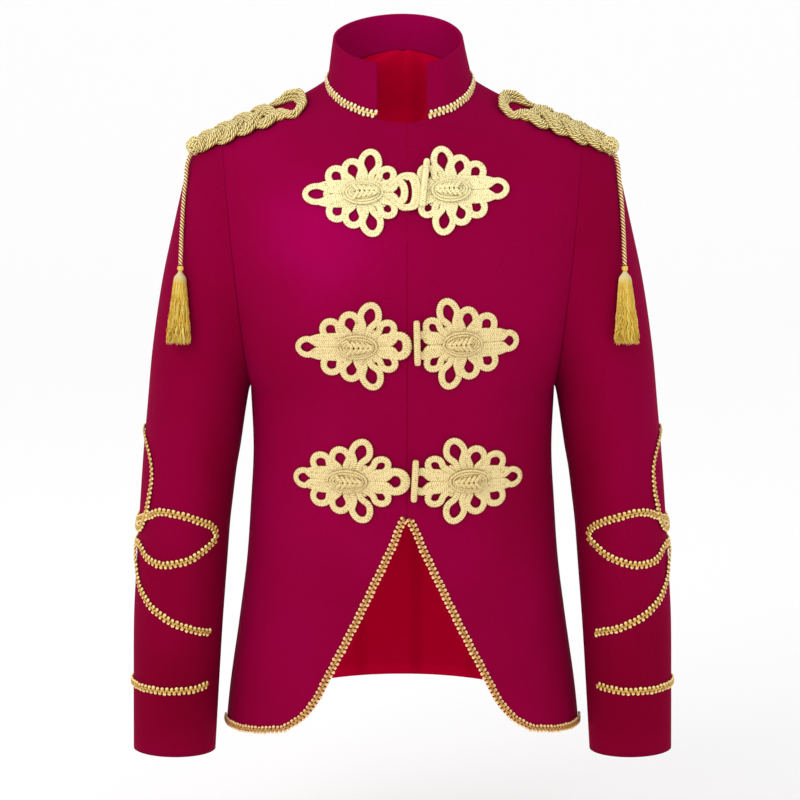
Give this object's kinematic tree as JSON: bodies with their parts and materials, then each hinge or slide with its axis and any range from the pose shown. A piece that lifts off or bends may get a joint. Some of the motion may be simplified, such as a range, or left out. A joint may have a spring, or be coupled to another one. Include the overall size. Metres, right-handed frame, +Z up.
{
  "type": "velvet parade jacket",
  "caption": "Fitted velvet parade jacket with stand collar, cutaway front, frog closures, braid and plaited epaulettes with tassels, worn and hollow.",
  "frame": {"origin": "midway between the wearer's two side neck points, at shoulder height, where the jacket hangs on the wearer", "axes": "+Z up, -Y to the front of the jacket, +X to the wearer's left"},
  "size_m": [0.5784, 0.2509, 0.778],
  "materials": {
    "velvet": "crimson cotton velvet, soft pile",
    "lining": "red satin lining",
    "gimp_braid": "old gold gimp braid",
    "frog_cord": "pale gold ribbed cord",
    "epaulette_plait": "gold plaited cord",
    "twisted_cord": "gold twisted cord",
    "tassel_thread": "gold rayon thread"
  },
  "bodies": {
    "root": {"front_right": "velvet", "front_left": "velvet", "back": "velvet", "back_lining": "lining", "collar": "velvet", "sleeve_right": "velvet", "sleeve_left": "velvet", "collar_braid_right": "gimp_braid", "collar_braid_left": "gimp_braid", "hem_braid_right": "gimp_braid", "hem_braid_left": "gimp_braid", "sleeve_scroll_right": "gimp_braid", "sleeve_scroll_left": "gimp_braid", "cuff_braid_right": "gimp_braid", "cuff_braid_left": "gimp_braid", "frog_top_right": "frog_cord", "frog_top_left": "frog_cord", "frog_middle_right": "frog_cord", "frog_middle_left": "frog_cord", "frog_bottom_right": "frog_cord", "frog_bottom_left": "frog_cord", "toggle_top": "frog_cord", "toggle_middle": "frog_cord", "toggle_bottom": "frog_cord", "epaulette_right": "epaulette_plait", "epaulette_left": "epaulette_plait", "epaulette_cord_right": "twisted_cord", "epaulette_cord_left": "twisted_cord", "tassel_right": "tassel_thread", "tassel_left": "tassel_thread"}
  },
  "joints": []
}
